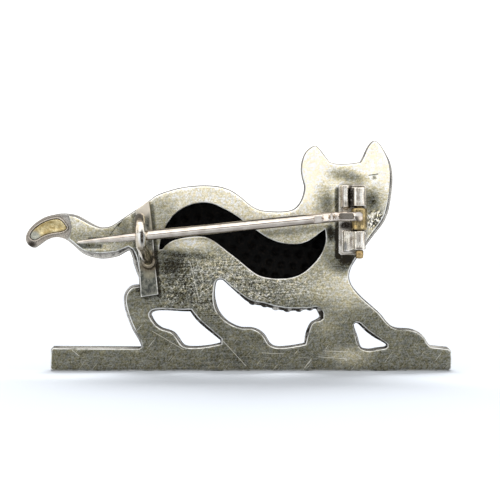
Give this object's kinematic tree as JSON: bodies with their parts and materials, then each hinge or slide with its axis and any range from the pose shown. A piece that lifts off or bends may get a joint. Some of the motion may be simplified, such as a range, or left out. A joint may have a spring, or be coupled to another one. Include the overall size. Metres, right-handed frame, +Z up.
{
  "type": "figural cat brooch",
  "caption": "Silver cat on a base bar with a flat back plate, domed stone-set front, C catch and hinged pin.",
  "frame": {"origin": "middle of the underside of the base bar, on which the brooch stands", "axes": "+X along the bar towards the head, +Z up, pin and catch towards -Y, front of the cat towards +Y"},
  "size_m": [0.0446, 0.0094, 0.0241],
  "materials": {
    "plate_silver": "old silver sheet, brushed and scratched, tarnished grey",
    "cast_silver": "cast silver, polished on its high parts and dark in its hollows",
    "dark_stone": "dark metallic-looking cut stones, marcasite style",
    "solder_brass": "pale yellow metal filling, uneven and pitted",
    "catch_silver": "silver strip and wire, warm, with tarnish at the solder",
    "hinge_silver": "polished silver sheet",
    "rivet_brass": "dull brass",
    "knuckle_brass": "dull brass, darkened",
    "stem_silver": "drawn wire, polished along its length"
  },
  "bodies": {
    "brooch": {"back_plate": "plate_silver", "front_relief": "cast_silver", "pave_stones": "dark_stone", "tail_fill": "solder_brass", "catch": "catch_silver", "hinge_plate": "hinge_silver", "hinge_rivet": "rivet_brass"},
    "pin": {"pin_knuckle": "knuckle_brass", "pin_stem": "stem_silver"}
  },
  "joints": [
    {"name": "pin_swing", "type": "hinge", "parent": "brooch", "child": "pin", "pos_m": [0.01125, -0.00288, 0.01583], "axis": [0, 0, 1], "range_deg": [0, 100]}
  ]
}
